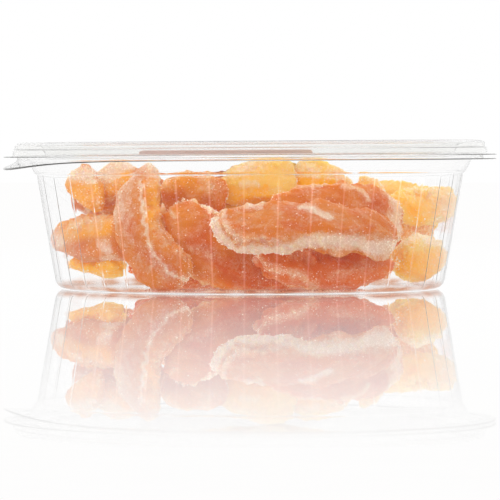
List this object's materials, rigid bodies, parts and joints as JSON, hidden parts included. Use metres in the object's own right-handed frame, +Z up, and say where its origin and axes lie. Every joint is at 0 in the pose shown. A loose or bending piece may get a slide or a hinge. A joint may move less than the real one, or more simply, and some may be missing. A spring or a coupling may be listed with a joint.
{
  "type": "tub of dried melon slices",
  "caption": "Round, ribbed, clear tub with a press-fit lid and a plain label, filled with sugared orange and yellow dried melon slices.",
  "frame": {"origin": "centre of the tub's flat base, on the surface it stands on", "axes": "+Z up, out of the lid; the side that shows best faces -Y"},
  "size_m": [0.1602, 0.16, 0.0482],
  "materials": {
    "clear_plastic": "clear, glossy formed PET",
    "label": "plain film label, satin",
    "melon_pale": "translucent candied fruit with a pale sugar crust",
    "melon_orange": "translucent orange candied fruit, dusted with sugar",
    "melon_yellow": "translucent yellow candied fruit, dusted with sugar",
    "melon_deep": "translucent deep orange candied fruit, moist"
  },
  "bodies": {
    "root": {"label": "label", "lid": "clear_plastic", "slice_back_orange": "melon_orange", "slice_broad": "melon_orange", "slice_core_low": "melon_deep", "slice_core_mid": "melon_orange", "slice_core_top": "melon_yellow", "slice_crescent": "melon_pale", "slice_crown": "melon_yellow", "slice_hero": "melon_pale", "slice_left_deep": "melon_orange", "slice_left_fold": "melon_pale", "slice_left_inner": "melon_pale", "slice_left_low": "melon_yellow", "slice_left_point": "melon_pale", "slice_left_top": "melon_pale", "slice_low_left": "melon_deep", "slice_low_right": "melon_deep", "slice_near_low": "melon_deep", "slice_near_mid": "melon_orange", "slice_near_top": "melon_yellow", "slice_rear_crescent": "melon_pale", "slice_rear_left": "melon_pale", "slice_rear_low": "melon_deep", "slice_rear_middle": "melon_orange", "slice_rear_right": "melon_orange", "slice_rear_side": "melon_yellow", "slice_rear_top": "melon_yellow", "slice_right_bump": "melon_yellow", "slice_right_deep": "melon_yellow", "slice_right_inner": "melon_orange", "slice_right_low": "melon_yellow", "slice_right_mid": "melon_orange", "slice_right_top": "melon_yellow", "slice_top_left": "melon_yellow", "slice_top_rear": "melon_pale", "slice_top_right": "melon_yellow", "slice_upper_right": "melon_orange", "tub": "clear_plastic"}
  },
  "joints": []
}
